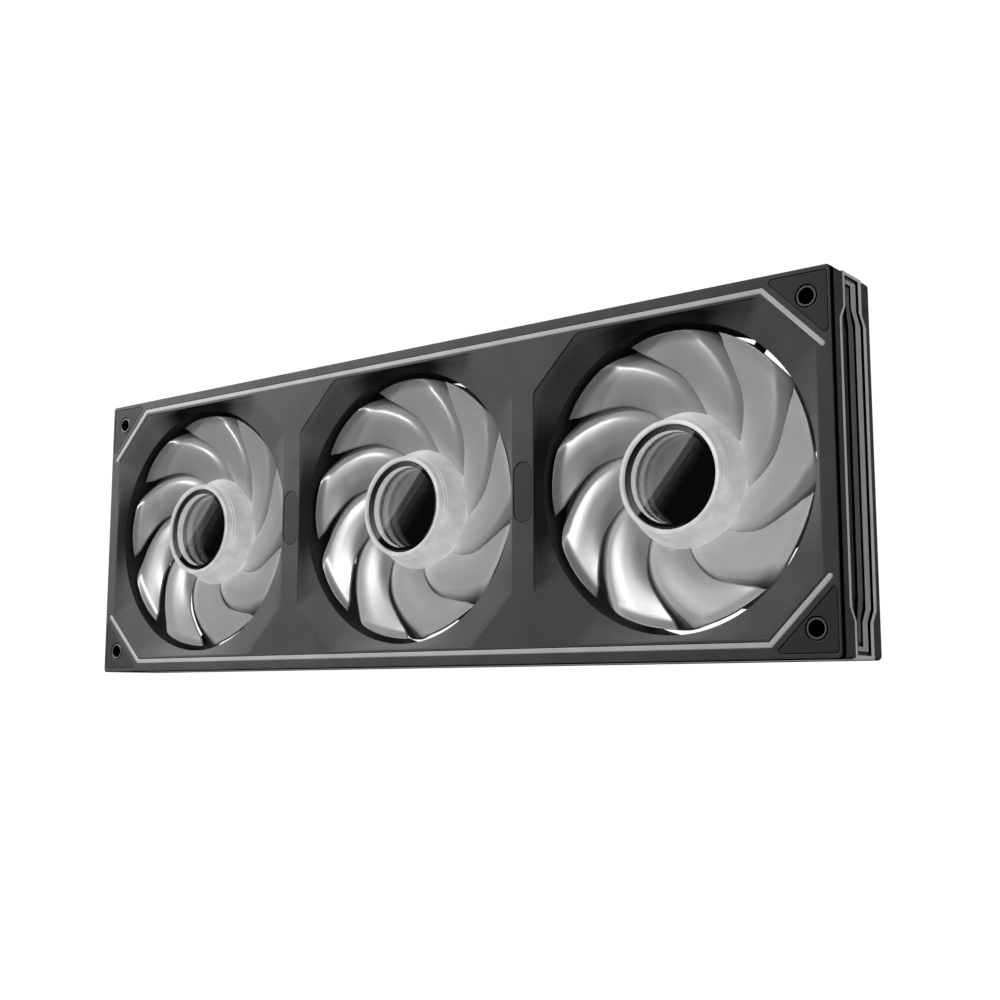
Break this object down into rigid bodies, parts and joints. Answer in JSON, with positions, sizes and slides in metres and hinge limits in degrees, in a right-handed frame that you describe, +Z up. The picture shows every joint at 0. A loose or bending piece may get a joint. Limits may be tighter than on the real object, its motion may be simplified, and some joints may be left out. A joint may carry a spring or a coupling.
{
  "type": "triple fan module for a liquid cooling radiator",
  "caption": "Long one-piece fan module for a liquid cooling radiator: round ducts in octagonal openings, swept translucent blades and mirrored hubs with a lit ring.",
  "frame": {"origin": "centre of the bounding box at its base, where the module stands on its long edge", "axes": "+X along the module towards the end with the light-grey trim, +Y with the air flow from the bezel to the radiator face, +Z up"},
  "size_m": [0.3618, 0.0292, 0.1235],
  "materials": {
    "shell": "matt",
    "frame": "matt",
    "housing": "matt",
    "light_strip": "satin",
    "rib": "satin",
    "dark_trim": "matt",
    "pad": "matt",
    "sleeve": "satin",
    "frosted": "frosted",
    "glass": "half mirror",
    "mask": "gloss",
    "lit_band": "frosted",
    "mirror": "polished",
    "magnet": "matt",
    "steel": "polished",
    "bronze": "satin",
    "stator": "satin",
    "board": "satin",
    "socket": "matt"
  },
  "bodies": {
    "frame": {"front_bezel": "shell", "main_frame": "frame", "fan_housing_left": "housing", "bearing_left": "bronze", "stator_left": "stator", "motor_board_left": "board", "fan_housing_middle": "housing", "bearing_middle": "bronze", "stator_middle": "stator", "motor_board_middle": "board", "fan_housing_right": "housing", "bearing_right": "bronze", "stator_right": "stator", "motor_board_right": "board", "front_strip_upper": "light_strip", "side_band_upper": "light_strip", "front_pad_upper_left": "pad", "rear_pad_upper_left": "pad", "screw_sleeve_upper_left": "sleeve", "front_pad_upper_right": "pad", "rear_pad_upper_right": "pad", "screw_sleeve_upper_right": "sleeve", "front_strip_lower": "light_strip", "side_band_lower": "light_strip", "front_pad_lower_left": "pad", "rear_pad_lower_left": "pad", "screw_sleeve_lower_left": "sleeve", "front_pad_lower_right": "pad", "rear_pad_lower_right": "pad", "screw_sleeve_lower_right": "sleeve", "oval_plate_left": "dark_trim", "oval_plate_right": "dark_trim", "end_outer_trim": "light_strip", "end_rib": "rib", "end_dark_strip": "dark_trim", "end_rail": "dark_trim", "cable_socket": "socket"},
    "rotor_left": {"rotor_left": "frosted", "mirror_glass_left": "glass", "mask_ring_left": "mask", "light_band_left": "lit_band", "rear_mirror_left": "mirror", "magnet_ring_left": "magnet", "shaft_left": "steel"},
    "rotor_middle": {"rotor_middle": "frosted", "mirror_glass_middle": "glass", "mask_ring_middle": "mask", "light_band_middle": "lit_band", "rear_mirror_middle": "mirror", "magnet_ring_middle": "magnet", "shaft_middle": "steel"},
    "rotor_right": {"rotor_right": "frosted", "mirror_glass_right": "glass", "mask_ring_right": "mask", "light_band_right": "lit_band", "rear_mirror_right": "mirror", "magnet_ring_right": "magnet", "shaft_right": "steel"}
  },
  "joints": [
    {"name": "rotor_left_spin", "type": "hinge", "parent": "frame", "child": "rotor_left", "pos_m": [-0.12, 0, 0.06175], "axis": [0, -1, 0], "continuous": true},
    {"name": "rotor_middle_spin", "type": "hinge", "parent": "frame", "child": "rotor_middle", "pos_m": [0, 0, 0.06175], "axis": [0, -1, 0], "continuous": true},
    {"name": "rotor_right_spin", "type": "hinge", "parent": "frame", "child": "rotor_right", "pos_m": [0.12, 0, 0.06175], "axis": [0, -1, 0], "continuous": true}
  ]
}
